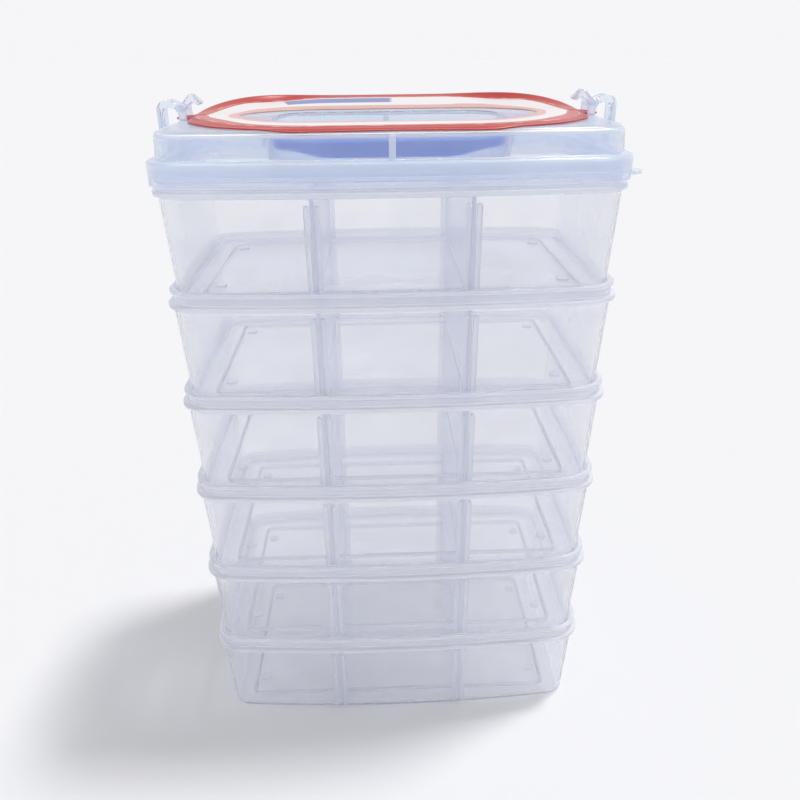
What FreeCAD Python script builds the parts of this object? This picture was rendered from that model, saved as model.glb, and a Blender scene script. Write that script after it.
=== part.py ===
import FreeCAD
import Part
import Sketcher
import math
import os

# Stacking storage box: clear trays with lift-out dividers under a tinted lid with a folding handle,
# two rocker clips and a paper card. Millimetres, origin under the middle of the box, front at -Y.

TRAYS = 6

SIZES = {
    "flange_width": 251.8,
    "flange_depth": 164.0,
    "bow_radius": 1200.0,
    "corner_radius": 20.0,
    "stack_pitch": 60.5,
    "foot_height": 1.6,
    "foot_side_inset": 19.2,
    "foot_front_inset": 22.0,
    "foot_corner": 14.0,
    "foot_thickness": 2.2,
    "floor_thickness": 1.8,
    "wall_thickness": 1.8,
    "base_inset": 6.0,
    "base_radius": 2.5,
    "rim_inset": 2.8,
    "flange_thickness": 3.0,
    "collar_height": 10.6,
    "collar_thickness": 2.0,
    "bead_inset": 1.5,
    "bead_height": 2.6,
    "edge_radius": 1.0,
    "ledge_rise": 4.0,
    "ledge_thickness": 2.0,
    "pad_radius": 3.5,
    "pad_height": 0.8,
    "pad_side_inset": 27.0,
    "pad_front_inset": 38.0,
    "divider_spacing": 84.0,
    "divider_thickness": 2.2,
    "divider_clearance": 0.3,
    "divider_gap": 0.6,
    "guide_rib": 2.8,
    "guide_depth": 4.0,
    "guide_drop": 4.5,
    "skirt_clearance": 0.5,
    "skirt_thickness": 1.8,
    "skirt_bottom": 5.1,
    "shoulder_height": 17.8,
    "shoulder_thickness": 1.8,
    "shoulder_radius": 1.6,
    "seat_thickness": 2.0,
    "plateau_height": 32.0,
    "plateau_inset": 3.9,
    "plateau_draft": 1.0,
    "plateau_wall": 1.8,
    "plateau_top": 2.0,
    "plateau_radius": 3.5,
    "rib_width": 3.5,
    "rib_depth": 0.8,
    "well_width": 80.0,
    "well_depth": 24.0,
    "well_wall": 1.8,
    "tab_radius": 7.0,
    "tab_height": 7.0,
    "tab_thickness": 2.2,
    "tab_place": 22.0,
    "handle_width": 132.0,
    "handle_side_clearance": 1.0,
    "handle_front_clearance": 4.0,
    "handle_corner": 18.0,
    "handle_corner_gap": 2.0,
    "arm_width": 9.0,
    "arm_height": 6.0,
    "grip_depth": 11.0,
    "grip_belly": 5.0,
    "grip_flat": 72.0,
    "belly_slope": 20.0,
    "pivot_depth": 11.0,
    "stub_radius": 2.2,
    "stub_length": 5.6,
    "stub_clearance": 0.1,
    "boss_radius": 6.5,
    "boss_length": 6.5,
    "hinge_inset": 8.1,
    "hinge_rise": 6.3,
    "hinge_pin_radius": 1.2,
    "hinge_clearance": 0.1,
    "hinge_barrel_radius": 2.4,
    "hinge_eye_radius": 2.7,
    "hinge_side_gap": 0.4,
    "lug_thickness": 3.0,
    "clip_width": 12.0,
    "clip_thickness": 3.4,
    "clip_leg_gap": 2.0,
    "toe_clearance": 0.6,
    "toe_drop": 1.0,
    "toe_thickness": 1.8,
    "card_thickness": 0.8,
    "card_length": 224.0,
    "card_width": 142.0,
    "card_hole_length": 170.0,
    "card_hole_width": 88.0,
    "card_flat": 50.0,
    "card_front_rise": 2.0,
    "card_rear_rise": 8.6,
    "card_tab_length": 244.0,
    "card_tab_root": 20.0,
    "card_tab_tip": 9.0,
}

doc = FreeCAD.newDocument("storage_box")
sheet = doc.addObject("Spreadsheet::Sheet", "dims")
for row, (alias, value) in enumerate(SIZES.items(), start=1):
    sheet.set(f"A{row}", alias)
    sheet.set(f"B{row}", str(value))
    sheet.setAlias(f"B{row}", alias)
doc.recompute()


class Size:
    """A length held both as a number and as the expression that ties it to the sheet."""

    def __init__(self, text, number):
        self.text = text
        self.number = number

    def __add__(self, other):
        other = as_size(other)
        return Size(f"({self.text} + {other.text})", self.number + other.number)

    def __sub__(self, other):
        other = as_size(other)
        return Size(f"({self.text} - {other.text})", self.number - other.number)

    def __mul__(self, other):
        other = as_size(other)
        return Size(f"({self.text} * {other.text})", self.number * other.number)

    def __truediv__(self, other):
        other = as_size(other)
        return Size(f"({self.text} / {other.text})", self.number / other.number)

    def __neg__(self):
        return Size(f"(0 - {self.text})", -self.number)


def as_size(value):
    if isinstance(value, Size):
        return value
    if value < 0:
        return Size(f"(0 - {-value})", float(value))
    return Size(str(value), float(value))


def named(alias):
    return Size(f"dims.{alias}", float(sheet.get(alias)))


def bind(thing, prop, value):
    value = as_size(value)
    thing.setExpression(prop, value.text)


def place(thing, x=0, y=0, z=0):
    thing.Placement = FreeCAD.Placement(
        FreeCAD.Vector(as_size(x).number, as_size(y).number, as_size(z).number),
        thing.Placement.Rotation,
    )
    bind(thing, "Placement.Base.x", x)
    bind(thing, "Placement.Base.y", y)
    bind(thing, "Placement.Base.z", z)


def measure(sketch, kind, *place_and_size):
    """Adds one driven dimension to a sketch and ties it to the sheet."""
    *spot, value = place_and_size
    value = as_size(value)
    index = sketch.addConstraint(Sketcher.Constraint(kind, *spot, value.number))
    sketch.setExpression(f"Constraints[{index}]", value.text)


def outline(name, inset, z):
    """The box's plan, set in by inset: straight ends, gently bowed front and back, round corners."""
    inset = as_size(inset)
    half = named("flange_width") / 2 - inset
    bow = named("bow_radius") - inset
    corner = named("corner_radius") - inset
    bow_centre = named("bow_radius") - named("flange_depth") / 2
    a, r, big, yc = half.number, corner.number, bow.number, bow_centre.number
    cx = a - r
    cy = yc - math.sqrt((big - r) ** 2 - cx**2)
    turn = math.atan2(yc - cy, cx)
    sketch = doc.addObject("Sketcher::SketchObject", name)
    up = FreeCAD.Vector(0, 0, 1)

    def arc(x, y, radius, start, end):
        return Part.ArcOfCircle(Part.Circle(FreeCAD.Vector(x, y, 0), up, radius), start, end)

    pi = math.pi
    sketch.addGeometry(
        [
            Part.LineSegment(FreeCAD.Vector(a, cy, 0), FreeCAD.Vector(a, -cy, 0)),
            arc(cx, -cy, r, 0, turn),
            arc(0, -yc, big, turn, pi - turn),
            arc(-cx, -cy, r, pi - turn, pi),
            Part.LineSegment(FreeCAD.Vector(-a, -cy, 0), FreeCAD.Vector(-a, cy, 0)),
            arc(-cx, cy, r, pi, pi + turn),
            arc(0, yc, big, pi + turn, 2 * pi - turn),
            arc(cx, cy, r, 2 * pi - turn, 2 * pi),
        ],
        False,
    )
    rules = [Sketcher.Constraint("Tangent", i, 2, (i + 1) % 8, 1) for i in range(8)]
    rules += [Sketcher.Constraint("Vertical", 0), Sketcher.Constraint("Vertical", 4)]
    rules += [Sketcher.Constraint("Equal", 1, i) for i in (3, 5, 7)]
    rules.append(Sketcher.Constraint("Equal", 2, 6))
    rules += [Sketcher.Constraint("PointOnObject", i, 3, -2) for i in (2, 6)]
    sketch.addConstraint(rules)
    measure(sketch, "Radius", 1, corner)
    measure(sketch, "Radius", 2, bow)
    measure(sketch, "DistanceX", -1, 1, 0, 1, half)
    measure(sketch, "DistanceX", 4, 1, -1, 1, half)
    measure(sketch, "DistanceY", -1, 1, 6, 3, bow_centre)
    measure(sketch, "DistanceY", 2, 3, -1, 1, bow_centre)
    place(sketch, z=z)
    return sketch


def rounded_plan(name, half_x, half_y, radius, z):
    """A rectangle with round corners, centred on the origin."""
    half_x, half_y, radius = as_size(half_x), as_size(half_y), as_size(radius)
    a, b, r = half_x.number, half_y.number, radius.number
    sketch = doc.addObject("Sketcher::SketchObject", name)
    up = FreeCAD.Vector(0, 0, 1)
    shapes = []
    for quarter in range(4):
        sx = 1 if quarter in (0, 3) else -1
        sy = 1 if quarter in (0, 1) else -1
        middle = FreeCAD.Vector(sx * (a - r), sy * (b - r), 0)
        start = quarter * math.pi / 2
        shapes.append(Part.ArcOfCircle(Part.Circle(middle, up, r), start, start + math.pi / 2))
    shapes.append(Part.LineSegment(shapes[0].EndPoint, shapes[1].StartPoint))
    shapes.append(Part.LineSegment(shapes[1].EndPoint, shapes[2].StartPoint))
    shapes.append(Part.LineSegment(shapes[2].EndPoint, shapes[3].StartPoint))
    shapes.append(Part.LineSegment(shapes[3].EndPoint, shapes[0].StartPoint))
    sketch.addGeometry(shapes, False)
    rules = []
    for i in range(4):
        rules.append(Sketcher.Constraint("Tangent", i, 2, 4 + i, 1))
        rules.append(Sketcher.Constraint("Tangent", 4 + i, 2, (i + 1) % 4, 1))
    rules += [Sketcher.Constraint("Equal", 0, i) for i in (1, 2, 3)]
    rules += [Sketcher.Constraint("Horizontal", 4), Sketcher.Constraint("Vertical", 5)]
    sketch.addConstraint(rules)
    measure(sketch, "Radius", 0, radius)
    measure(sketch, "DistanceX", -1, 1, 7, 1, half_x)
    measure(sketch, "DistanceX", 5, 1, -1, 1, half_x)
    measure(sketch, "DistanceY", -1, 1, 4, 1, half_y)
    measure(sketch, "DistanceY", 6, 1, -1, 1, half_y)
    place(sketch, z=z)
    return sketch


TURNS = {
    "plan": FreeCAD.Rotation(),
    "front": FreeCAD.Rotation(FreeCAD.Vector(1, 0, 0), 90),
    "side": FreeCAD.Rotation(FreeCAD.Vector(1, 1, 1), 120),
}


def polygon(name, plane, points):
    """A closed polygon seen in plan (x, y), from the front (x, z) or from the side (y, z)."""
    points = [(as_size(u), as_size(v)) for u, v in points]
    spots = [FreeCAD.Vector(u.number, v.number, 0) for u, v in points]
    sketch = doc.addObject("Sketcher::SketchObject", name)
    count = len(spots)
    sketch.addGeometry([Part.LineSegment(spots[i], spots[(i + 1) % count]) for i in range(count)], False)
    sketch.addConstraint([Sketcher.Constraint("Coincident", i, 2, (i + 1) % count, 1) for i in range(count)])
    for i, (u, v) in enumerate(points):
        measure(sketch, "DistanceX", -1, 1, i, 1, u)
        measure(sketch, "DistanceY", -1, 1, i, 1, v)
    sketch.Placement = FreeCAD.Placement(FreeCAD.Vector(), TURNS[plane])
    return sketch


def prism(name, profile, direction, length, both_ways=False):
    solid = doc.addObject("Part::Extrusion", name)
    solid.Base = profile
    solid.DirMode = "Custom"
    solid.Dir = FreeCAD.Vector(*direction)
    solid.Solid = True
    solid.Symmetric = both_ways
    bind(solid, "LengthFwd", length)
    return solid


def slab(name, inset, bottom, height):
    return prism(name, outline(name + "_plan", inset, bottom), (0, 0, 1), height)


def funnel(name, low_inset, low, high_inset, high):
    solid = doc.addObject("Part::Loft", name)
    solid.Sections = [outline(name + "_low", low_inset, low), outline(name + "_high", high_inset, high)]
    solid.Solid = True
    solid.Ruled = True
    return solid


def block(name, low, high):
    solid = doc.addObject("Part::Box", name)
    low = [as_size(v) for v in low]
    high = [as_size(v) for v in high]
    for prop, start, end in zip(("Length", "Width", "Height"), low, high):
        bind(solid, prop, end - start)
    place(solid, *low)
    return solid


AXES = {
    "x": FreeCAD.Rotation(FreeCAD.Vector(0, 1, 0), 90),
    "y": FreeCAD.Rotation(FreeCAD.Vector(1, 0, 0), -90),
    "z": FreeCAD.Rotation(),
}


def rod(name, radius, axis, start, length):
    solid = doc.addObject("Part::Cylinder", name)
    bind(solid, "Radius", radius)
    bind(solid, "Height", length)
    solid.Placement = FreeCAD.Placement(FreeCAD.Vector(), AXES[axis])
    place(solid, *start)
    return solid


def fuse(name, parts):
    solid = doc.addObject("Part::MultiFuse", name)
    solid.Shapes = parts
    return solid


def cut(name, base, tools):
    solid = doc.addObject("Part::Cut", name)
    solid.Base = base
    solid.Tool = tools[0] if len(tools) == 1 else fuse(name + "_tools", tools)
    return solid


def common(name, parts):
    solid = doc.addObject("Part::MultiCommon", name)
    solid.Shapes = parts
    return solid


def mirrored(name, source):
    solid = doc.addObject("Part::Mirroring", name)
    solid.Source = source
    solid.Normal = FreeCAD.Vector(1, 0, 0)
    solid.Base = FreeCAD.Vector(0, 0, 0)
    return solid


def rounded(name, base, radius, picks):
    """Rounds the edges that picks accepts, by one radius."""
    doc.recompute()
    radius = as_size(radius).number
    solid = doc.addObject("Part::Fillet", name)
    solid.Base = base
    solid.Edges = [(i, radius, radius) for i, edge in enumerate(base.Shape.Edges, start=1) if picks(edge)]
    return solid


def at_height(*heights):
    levels = [as_size(value).number for value in heights]

    def picks(edge):
        low, high = edge.BoundBox.ZMin, edge.BoundBox.ZMax
        return any(abs(low - level) < 1e-3 and abs(high - level) < 1e-3 for level in levels)

    return picks


def copy_of(name, source):
    twin = doc.addObject("Part::Compound", name)
    twin.Links = [source]
    return twin


pieces = []


def finish(piece, label, x=0, y=0, z=0):
    piece.Label = label
    place(piece, x, y, z)
    pieces.append(piece)


# Tray: a thin moulded tub. Its foot ring stands on the table, its rim has a flange, a collar and a bead,
# and the base of the tray above drops into the collar and rests on a ledge inside it.
pitch = named("stack_pitch")
foot = named("foot_height")
wall = named("wall_thickness")
floor_top = foot + named("floor_thickness")
flange_z = pitch + foot - named("ledge_rise")
rim_top = flange_z + named("collar_height")
ledge_under = flange_z + named("ledge_rise") - named("ledge_thickness")
ledge_inset = named("base_inset") + wall

tub = funnel("tub", named("base_inset"), foot, named("rim_inset"), flange_z)
tub_round = rounded("tub_round", tub, named("base_radius"), at_height(foot))
flange = slab("flange", 0, flange_z, named("flange_thickness"))
flange_round = rounded(
    "flange_round", flange, named("edge_radius"), at_height(flange_z, flange_z + named("flange_thickness"))
)
bead_bottom = rim_top - named("bead_height")
bead = slab("bead", named("bead_inset"), bead_bottom, named("bead_height"))
bead_round = rounded("bead_round", bead, named("edge_radius"), at_height(bead_bottom, rim_top))
collar = slab("collar", named("rim_inset"), flange_z, named("collar_height"))
foot_x = named("flange_width") / 2 - named("foot_side_inset")
foot_y = named("flange_depth") / 2 - named("foot_front_inset")
foot_rings = []
for word, step, bottom in (("outer", as_size(0), as_size(0)), ("inner", named("foot_thickness"), -foot)):
    plan = rounded_plan(
        f"foot_{word}_plan", foot_x - step, foot_y - step, named("foot_corner") - step, bottom
    )
    height = foot * 2 if word == "inner" else foot + named("floor_thickness") / 2
    foot_rings.append(prism(f"foot_{word}", plan, (0, 0, 1), height))
foot_ring = cut("foot_ring", foot_rings[0], [foot_rings[1]])

pads = []
for side in (-1, 1):
    for end in (-1, 1):
        pads.append(
            rod(
                f"pad_{len(pads)}",
                named("pad_radius"),
                "z",
                (
                    (named("flange_width") / 2 - named("pad_side_inset")) * side,
                    (named("flange_depth") / 2 - named("pad_front_inset")) * end,
                    foot - named("pad_height"),
                ),
                named("pad_height") + named("floor_thickness") / 2,
            )
        )

cavity = funnel("cavity", ledge_inset, floor_top, named("rim_inset") + wall, ledge_under)
mouth = slab("mouth", ledge_inset, ledge_under - wall, named("ledge_thickness") + wall * 2)
collar_bore = slab(
    "collar_bore",
    named("rim_inset") + named("collar_thickness"),
    flange_z + named("ledge_rise"),
    named("collar_height"),
)
shell = cut(
    "shell",
    fuse("tub_and_rim", [tub_round, collar, flange_round, bead_round, foot_ring] + pads),
    [cavity, mouth, collar_bore],
)

# Divider guides: a pair of ribs on the front and back walls at each divider, open at the top.
divider_x = named("divider_spacing") / 2
bow_drop = divider_x * divider_x / (named("bow_radius") * 2)
inner_depth = named("flange_depth") / 2 - ledge_inset - bow_drop
slot = named("divider_thickness") / 2 + named("divider_clearance")
guide_top = flange_z - named("guide_drop")
ribs = []
for side in (-1, 1):
    for edge in (-1, 1):
        near = divider_x * side + slot * edge
        far = divider_x * side + (slot + named("guide_rib")) * edge
        low, high = (near, far) if edge > 0 else (far, near)
        ribs.append(
            block(
                f"rib_{len(ribs)}",
                (low, -(named("flange_depth") / 2), foot + named("floor_thickness") / 2),
                (high, named("flange_depth") / 2, guide_top),
            )
        )
rib_reach = inner_depth - named("guide_depth")
rib_gap = block(
    "rib_gap",
    (-(named("flange_width") / 2), -rib_reach, 0),
    (named("flange_width") / 2, rib_reach, flange_z),
)
guides = common("guides", [cut("rib_pairs", fuse("ribs", ribs), [rib_gap]), tub_round])
tray = fuse("tray", [shell, guides])
finish(tray, f"tray_{TRAYS}")
trays = {TRAYS: tray}
for number in range(1, TRAYS):
    trays[number] = copy_of(f"tray_copy_{number}", tray)
    finish(trays[number], f"tray_{number}", z=pitch * (TRAYS - number))

# Divider: a plain plate that drops between the guide ribs and stands on the floor of its tray.
divider_top = flange_z + named("ledge_rise") - foot - named("divider_gap")
divider_reach = inner_depth - named("divider_clearance")
divider = block(
    "divider",
    (-(named("divider_thickness") / 2), -divider_reach, floor_top),
    (named("divider_thickness") / 2, divider_reach, divider_top),
)
doc.recompute()
divider_round = rounded(
    "divider_round",
    divider,
    named("base_radius"),
    lambda edge: abs(edge.BoundBox.XLength - SIZES["divider_thickness"]) < 1e-3
    and edge.BoundBox.YLength < 1e-3
    and edge.BoundBox.ZMin > floor_top.number + 1,
)
for number in range(1, TRAYS + 1):
    for word, side in (("left", -1), ("right", 1)):
        plate = copy_of(f"divider_copy_{number}_{word}", divider_round)
        finish(plate, f"divider_{number}_{word}", x=divider_x * side, z=pitch * (TRAYS - number))

# Lid: modelled with its zero at the underside of the top tray's flange. A skirt hangs round the collar,
# a seat ring stands on the collar's rim, and the raised top holds a well for the folding handle.
lid_z = pitch * (TRAYS - 1) + flange_z
skirt_inset = named("bead_inset") - named("skirt_clearance")
shoulder = named("shoulder_height")
shoulder_under = shoulder - named("shoulder_thickness")
plateau = named("plateau_height")
inner_low = named("plateau_inset") + named("plateau_wall")
inner_high = inner_low + named("plateau_draft")
half_width = named("flange_width") / 2
half_depth = named("flange_depth") / 2

skirt = slab(
    "skirt", skirt_inset - named("skirt_thickness"), named("skirt_bottom"), shoulder - named("skirt_bottom")
)
skirt_round = rounded("skirt_round", skirt, named("shoulder_radius"), at_height(shoulder))
hill = funnel(
    "hill",
    named("plateau_inset"),
    shoulder_under,
    named("plateau_inset") + named("plateau_draft"),
    plateau,
)
hill_round = rounded("hill_round", hill, named("plateau_radius"), at_height(plateau))
skirt_bore = slab("skirt_bore", skirt_inset, 0, shoulder_under)
hollow = funnel("hollow", inner_low, shoulder_under - wall, inner_high, plateau - named("plateau_top"))
lid_shell = cut("lid_shell", fuse("lid_outside", [skirt_round, hill_round]), [skirt_bore, hollow])

seat_outer = slab(
    "seat_outer", named("rim_inset"), named("collar_height"), shoulder - wall / 2 - named("collar_height")
)
seat_inner = slab("seat_inner", named("rim_inset") + named("seat_thickness"), 0, shoulder)
seat_ring = cut("seat_ring", seat_outer, [seat_inner])

pivot_z = plateau - named("pivot_depth")
well_half = named("handle_width") / 2 + named("handle_side_clearance")
well_corner = named("handle_corner") + named("handle_corner_gap")
well_floor = plateau - named("well_depth")
well_outside = prism(
    "well_outside",
    rounded_plan(
        "well_outside_plan",
        well_half + named("well_wall"),
        named("well_width") / 2 + named("well_wall"),
        well_corner + named("well_wall"),
        well_floor - named("well_wall"),
    ),
    (0, 0, 1),
    named("well_depth") + named("well_wall") - named("plateau_top") / 2,
)
well_inside = prism(
    "well_inside",
    rounded_plan("well_inside_plan", well_half, named("well_width") / 2, well_corner, well_floor),
    (0, 0, 1),
    named("well_depth") * 2,
)
boss_span = well_half + named("boss_length")
pivot_boss = rod("pivot_boss", named("boss_radius"), "x", (-boss_span, 0, pivot_z), boss_span * 2)
stub_hole_span = named("handle_width") / 2 + named("stub_length") + named("handle_side_clearance") / 2
stub_hole = rod(
    "stub_hole",
    named("stub_radius") + named("stub_clearance"),
    "x",
    (-stub_hole_span, 0, pivot_z),
    stub_hole_span * 2,
)

rib_out = half_depth - named("plateau_inset") + named("rib_depth")
centre_ribs = cut(
    "centre_ribs",
    block(
        "rib_through",
        (-(named("rib_width") / 2), -rib_out, shoulder - wall / 2),
        (named("rib_width") / 2, rib_out, plateau - named("plateau_radius") / 2),
    ),
    [
        block(
            "rib_clear",
            (-half_width, -(half_depth - inner_low), 0),
            (half_width, half_depth - inner_low, plateau * 2),
        )
    ],
)

skirt_half = half_width - skirt_inset + named("skirt_thickness")
leg_in = skirt_half + named("clip_leg_gap")
leg_out = leg_in + named("clip_thickness")
tab_disc = rod(
    "tab_disc",
    named("tab_radius"),
    "z",
    (leg_out - named("tab_radius"), -half_depth + named("tab_place"), named("tab_height")),
    named("tab_thickness"),
)
tab_keep = slab("tab_keep", skirt_inset - named("skirt_thickness") / 2, 0, shoulder)
lift_tab = cut("lift_tab", tab_disc, [tab_keep])

hinge_x = half_width - named("hinge_inset")
hinge_z = plateau + named("hinge_rise")
clip_half = named("clip_width") / 2
lug_near = clip_half + named("hinge_side_gap")
lug_far = lug_near + named("lug_thickness")
eye = named("hinge_eye_radius")
lugs = []
for side in (-1, 1):
    for end in (-1, 1):
        front = -lug_far if end < 0 else lug_near
        left, right = (-eye, eye / 2) if side > 0 else (-(eye / 2), eye)
        lugs.append(
            block(
                f"lug_{side}_{end}".replace("-", "minus_"),
                (hinge_x * side + left, front, plateau - named("plateau_top")),
                (hinge_x * side + right, front + named("lug_thickness"), hinge_z),
            )
        )
        lugs.append(
            rod(
                f"eye_{side}_{end}".replace("-", "minus_"),
                eye,
                "y",
                (hinge_x * side, front, hinge_z),
                named("lug_thickness"),
            )
        )
pin_holes = [
    rod(
        f"pin_hole_{word}",
        named("hinge_pin_radius") + named("hinge_clearance"),
        "y",
        (hinge_x * side, -lug_far - wall, hinge_z),
        (lug_far + wall) * 2,
    )
    for word, side in (("left", -1), ("right", 1))
]
lid_solid = fuse(
    "lid_solid", [lid_shell, seat_ring, well_outside, pivot_boss, centre_ribs, lift_tab] + lugs
)
lid = cut("lid", lid_solid, [well_inside, stub_hole] + pin_holes)
finish(lid, "lid", z=lid_z)

# Handle: a bail that lies in the front of the well, with a deeper belly under the fingers
# and a round stub at each arm that turns in the wall of the well.
handle_half = named("handle_width") / 2
handle_reach = named("well_width") / 2 - named("handle_front_clearance")
arm_half = named("arm_height") / 2
arm_inner = handle_half - named("arm_width")
handle_low = pivot_z - arm_half - named("grip_belly")
handle_tall = named("arm_height") + named("grip_belly")
bail_outer = prism(
    "bail_outer",
    rounded_plan("bail_outer_plan", handle_half, handle_reach, named("handle_corner"), handle_low),
    (0, 0, 1),
    handle_tall,
)
bail_inner = prism(
    "bail_inner",
    rounded_plan(
        "bail_inner_plan",
        arm_inner,
        handle_reach - named("grip_depth"),
        named("handle_corner") - named("arm_width"),
        handle_low - wall,
    ),
    (0, 0, 1),
    handle_tall + wall * 2,
)
back_half = block("back_half", (-half_width, 0, 0), (half_width, half_depth, plateau))
belly_face = polygon(
    "belly_face",
    "front",
    [
        (-handle_half, pivot_z + arm_half),
        (-handle_half, pivot_z - arm_half),
        (-(named("grip_flat") / 2 + named("belly_slope")), pivot_z - arm_half),
        (-(named("grip_flat") / 2), handle_low),
        (named("grip_flat") / 2, handle_low),
        (named("grip_flat") / 2 + named("belly_slope"), pivot_z - arm_half),
        (handle_half, pivot_z - arm_half),
        (handle_half, pivot_z + arm_half),
    ],
)
belly = prism("belly", belly_face, (0, 1, 0), named("flange_depth"), both_ways=True)
bail = common("bail", [cut("bail_loop", bail_outer, [bail_inner, back_half]), belly])
eyes = []
for word, side in (("left", -1), ("right", 1)):
    start = -handle_half if side < 0 else arm_inner
    eyes.append(rod(f"arm_eye_{word}", arm_half, "x", (start, 0, pivot_z), named("arm_width")))
    start = -(handle_half + named("stub_length")) if side < 0 else handle_half - arm_half
    eyes.append(
        rod(
            f"stub_{word}",
            named("stub_radius"),
            "x",
            (start, 0, pivot_z),
            named("stub_length") + arm_half,
        )
    )
handle = fuse("handle", [bail] + eyes)
finish(handle, "handle", z=lid_z)

# Clip: a bent band hinged on the edge of the lid. Its leg hangs outside the skirt with a toe below the
# flange of the top tray, and its raised tail is pressed to swing the leg out.
toe_tip = half_width + named("toe_clearance")
toe_top = -named("toe_drop")
band_points = [
    (leg_out, toe_top - named("toe_thickness") * 2),
    (leg_out, hinge_z + 3.4),
    (hinge_x + 7.4, hinge_z + 4.6),
    (hinge_x + 0.4, hinge_z + 1.8),
    (hinge_x - 5.0, hinge_z + 7.9),
    (hinge_x - 10.6, hinge_z + 2.6),
    (hinge_x - 9.4, hinge_z + 1.1),
    (hinge_x - 6.4, hinge_z + 3.8),
    (hinge_x - 0.4, hinge_z - 2.0),
    (hinge_x + 7.2, hinge_z + 0.7),
    (leg_in, hinge_z - 0.2),
    (leg_in, toe_top),
    (toe_tip, toe_top),
    (toe_tip, toe_top - named("toe_thickness")),
    (leg_in, toe_top - named("toe_thickness") * 2),
]
band_radii = {1: 5.0, 2: 4.0, 3: 2.0, 4: 1.6, 5: 0.6, 6: 0.6, 8: 1.2, 9: 3.0, 10: 2.2}
band = prism("band", polygon("band_face", "front", band_points), (0, 1, 0), named("clip_width"), both_ways=True)
doc.recompute()
band_round = doc.addObject("Part::Fillet", "band_round")
band_round.Base = band
band_edges = []
for index, edge in enumerate(band.Shape.Edges, start=1):
    box = edge.BoundBox
    if box.YLength < 1:
        continue
    for corner, radius in band_radii.items():
        u, v = band_points[corner]
        if abs(box.XMin - as_size(u).number) < 1e-3 and abs(box.ZMin - as_size(v).number) < 1e-3:
            band_edges.append((index, radius, radius))
band_round.Edges = band_edges
barrel = rod(
    "barrel", named("hinge_barrel_radius"), "y", (hinge_x, -clip_half, hinge_z), named("clip_width")
)
barrel_bore = rod(
    "barrel_bore",
    named("hinge_pin_radius") + named("hinge_clearance"),
    "y",
    (hinge_x, -clip_half - wall, hinge_z),
    (clip_half + wall) * 2,
)
clip_right = cut("clip_shape", fuse("band_and_barrel", [band_round, barrel]), [barrel_bore])
clip_left = mirrored("clip_mirrored", clip_right)
for word, side, clip in (("left", -1, clip_left), ("right", 1, clip_right)):
    pin = rod(f"clip_pin_{word}", named("hinge_pin_radius"), "y", (0, -lug_far, 0), lug_far * 2)
    finish(pin, f"clip_pin_{word}", x=hinge_x * side, y=-lug_far, z=lid_z + hinge_z)
twin = copy_of("clip_left", clip_left)
finish(twin, "clip_left", z=lid_z)
twin = copy_of("clip_right", clip_right)
finish(twin, "clip_right", z=lid_z)

# Card: a bent sheet of printed paperboard that lies on the lid, with an oval opening for the handle,
# a turned-down front edge and a tab at each end that is tucked under the hinge of a clip.
sheet_half = named("card_width") / 2
flat_half = named("card_flat") / 2
thick = named("card_thickness")
under = [
    (-sheet_half, plateau + named("card_front_rise")),
    (-flat_half, plateau),
    (flat_half, plateau),
    (sheet_half, plateau + named("card_rear_rise")),
]
over = [(y, z + thick) for y, z in reversed(under)]
bent_sheet = prism(
    "bent_sheet", polygon("sheet_side", "side", under + over), (1, 0, 0), named("card_tab_length"), both_ways=True
)


def oval(name, length, width, bottom, height):
    ring = doc.addObject("Part::Ellipse", name + "_plan")
    bind(ring, "MajorRadius", length / 2)
    bind(ring, "MinorRadius", width / 2)
    place(ring, z=bottom)
    return prism(name, ring, (0, 0, 1), height)


tall = named("card_rear_rise") * 3
oval_outer = oval("oval_outer", named("card_length"), named("card_width"), plateau - thick, tall)
oval_hole = oval("oval_hole", named("card_hole_length"), named("card_hole_width"), plateau - thick * 2, tall * 2)
tab_reach = named("card_tab_length") / 2
tab_root = named("card_tab_root") / 2
tab_tip = named("card_tab_tip") / 2
tab_start = named("card_hole_length") / 2
tabs = []
for word, side in (("left", -1), ("right", 1)):
    face = polygon(
        f"card_tab_{word}_plan",
        "plan",
        [
            (tab_start * side, -tab_root),
            (tab_reach * side, -tab_tip),
            (tab_reach * side, tab_tip),
            (tab_start * side, tab_root),
        ],
    )
    tabs.append(prism(f"card_tab_{word}", face, (0, 0, 1), plateau * 2))
card_plan = cut("card_plan", fuse("card_outside", [oval_outer] + tabs), [oval_hole])
card_flat = common("card_flat", [bent_sheet, card_plan])
lip_tube = cut(
    "lip_tube",
    oval("lip_outer", named("card_length"), named("card_width"), plateau, tall),
    [
        oval(
            "lip_inner",
            named("card_length") - thick * 2,
            named("card_width") - thick * 2,
            plateau - thick,
            tall * 2,
        )
    ],
)
lip_side = polygon(
    "lip_side",
    "side",
    [
        (-sheet_half, plateau + thick / 4),
        (-flat_half, plateau + thick / 4),
        (-flat_half, plateau + thick / 2),
        (-sheet_half, plateau + named("card_front_rise") + thick / 2),
    ],
)
lip_zone = prism("lip_zone", lip_side, (1, 0, 0), named("card_tab_length"), both_ways=True)
card = fuse("top_card", [card_flat, common("card_lip", [lip_tube, lip_zone])])
finish(card, "top_card", z=lid_z)

doc.recompute()

faults = []
for thing in doc.Objects:
    if "Invalid" in thing.State or "Error" in thing.State:
        faults.append(f"{thing.Name}: {thing.State}")
for piece in pieces:
    if piece.Shape.isNull() or not piece.Shape.isValid():
        faults.append(f"{piece.Label}: shape is empty or not valid")
    elif not piece.Shape.Solids:
        faults.append(f"{piece.Label}: no solid")
if faults:
    raise RuntimeError("; ".join(faults))

os.makedirs("parts", exist_ok=True)
for piece in pieces:
    piece.Shape.exportStep(f"parts/{piece.Label}.step")
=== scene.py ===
import math

import bmesh
import bpy
from mathutils import Matrix, Vector


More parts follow.
